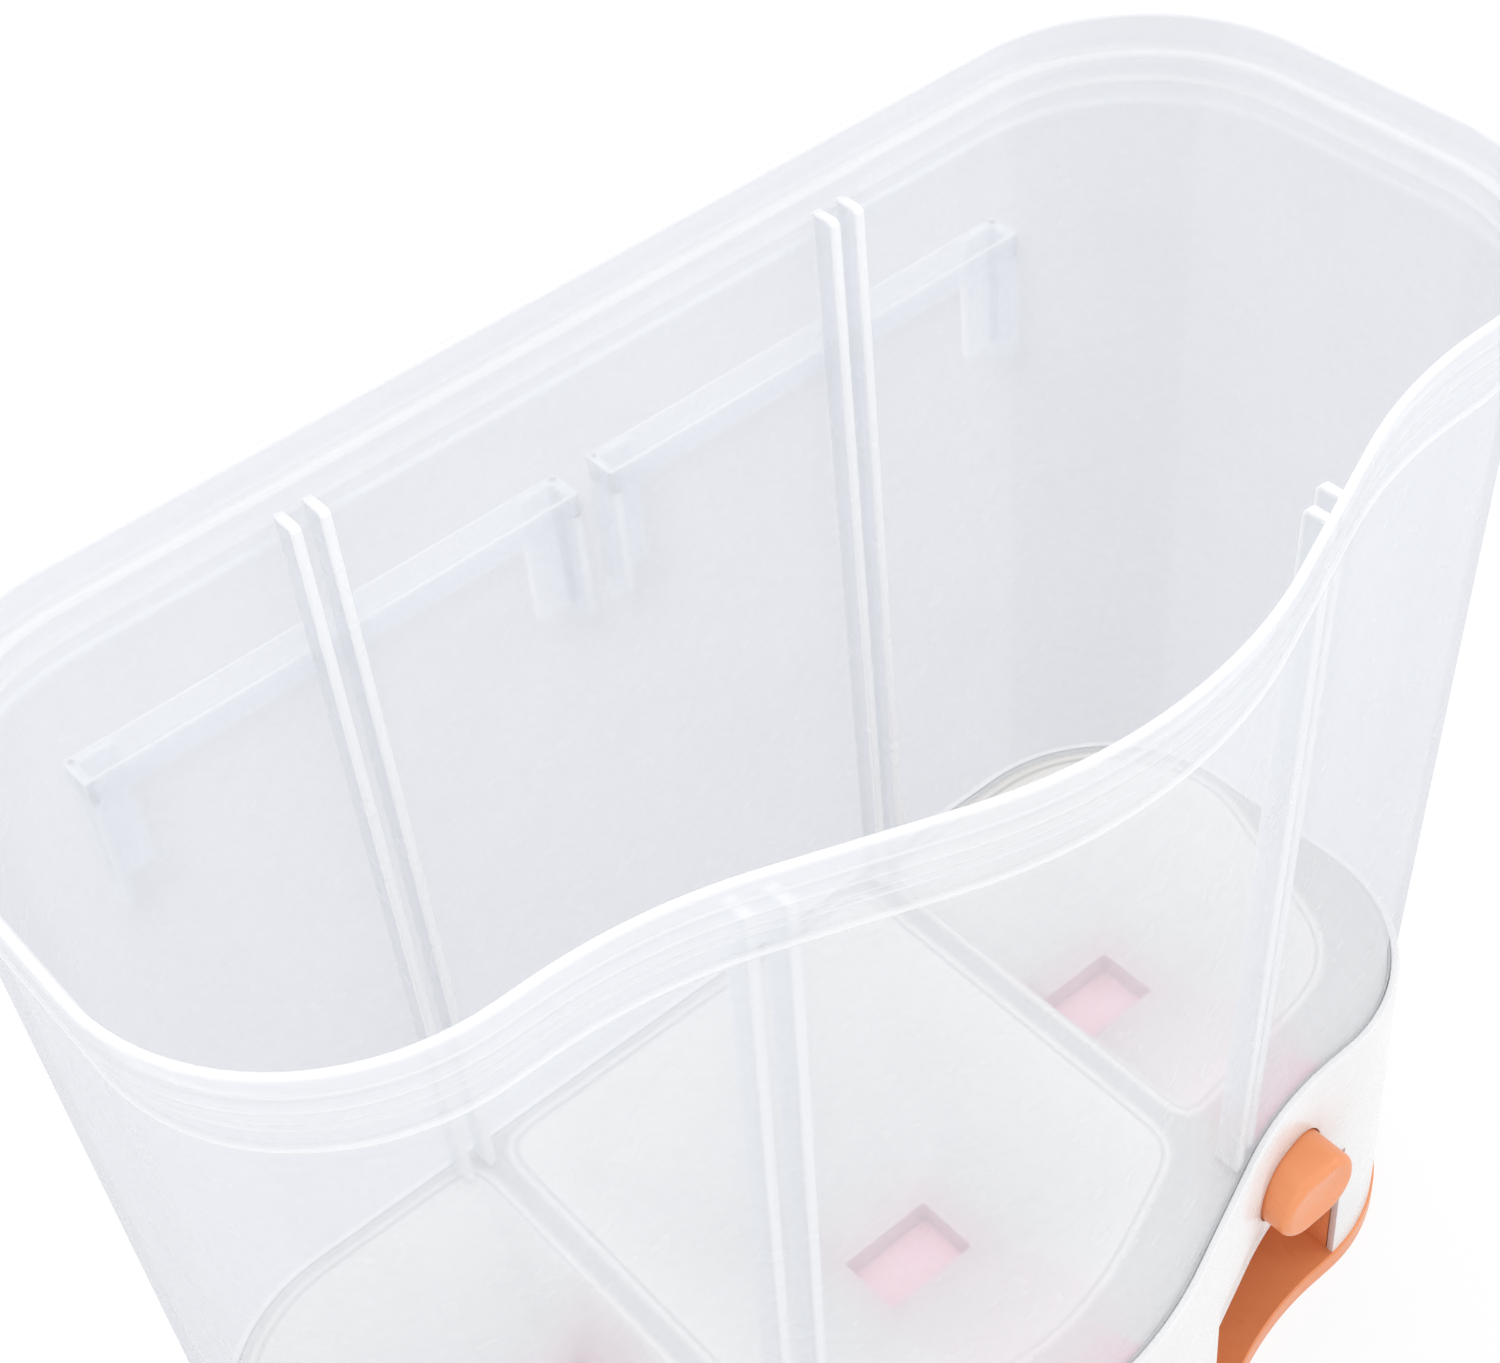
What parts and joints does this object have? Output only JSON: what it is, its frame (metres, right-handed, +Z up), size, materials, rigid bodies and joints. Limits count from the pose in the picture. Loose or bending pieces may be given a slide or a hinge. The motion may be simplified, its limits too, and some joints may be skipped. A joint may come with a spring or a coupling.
{
  "type": "divided gravity dispenser",
  "caption": "Translucent wall-hung storage tank with divider guides on a white base, with a hopper floor, sprung slide gates worked by front push buttons, and orange chutes",
  "frame": {"origin": "middle of the bounding box at the underside of the base tray, where the part stands", "axes": "+Z up, -Y to the front with the buttons and chutes, +X to the right seen from the back towards the front's right-hand end; symmetric about X = 0"},
  "size_m": [0.306, 0.162, 0.3],
  "materials": {
    "milky_polypropylene": "milky translucent injection-moulded polypropylene, smooth and slightly glossy",
    "white_polypropylene": "white moulded polypropylene, thin enough to glow a little",
    "white_abs": "white moulded ABS with a fine satin surface",
    "orange_polypropylene": "orange moulded polypropylene, satin",
    "orange_acetal": "orange moulded acetal, satin, the sliding gate",
    "spring_steel": "drawn stainless spring wire",
    "zinc_plated_steel": "zinc-plated pan head screws"
  },
  "bodies": {
    "root": {"tank": "milky_polypropylene", "hopper_floor": "white_polypropylene", "base_housing": "white_abs", "front_panel": "white_abs", "base_tray": "orange_polypropylene", "tray_screws": "zinc_plated_steel", "chute_left": "orange_polypropylene", "chute_middle": "orange_polypropylene", "chute_right": "orange_polypropylene", "gate_guide_left": "white_polypropylene", "gate_guide_middle": "white_polypropylene", "gate_guide_right": "white_polypropylene", "gate_spring_left": "spring_steel", "gate_spring_middle": "spring_steel", "gate_spring_right": "spring_steel"},
    "gate_left": {"gate_slide_left": "orange_acetal", "push_button_left": "orange_polypropylene"},
    "gate_middle": {"gate_slide_middle": "orange_acetal", "push_button_middle": "orange_polypropylene"},
    "gate_right": {"gate_slide_right": "orange_acetal", "push_button_right": "orange_polypropylene"}
  },
  "joints": [
    {"name": "press_left", "type": "slide", "parent": "root", "child": "gate_left", "axis": [0, 1, 0], "range_m": [0, 0.012], "stiffness_N_per_m": 120, "springref_m": -0.005, "deforming": ["gate_spring_left"]},
    {"name": "press_middle", "type": "slide", "parent": "root", "child": "gate_middle", "axis": [0, 1, 0], "range_m": [0, 0.012], "stiffness_N_per_m": 120, "springref_m": -0.005, "deforming": ["gate_spring_middle"]},
    {"name": "press_right", "type": "slide", "parent": "root", "child": "gate_right", "axis": [0, 1, 0], "range_m": [0, 0.012], "stiffness_N_per_m": 120, "springref_m": -0.005, "deforming": ["gate_spring_right"]}
  ]
}
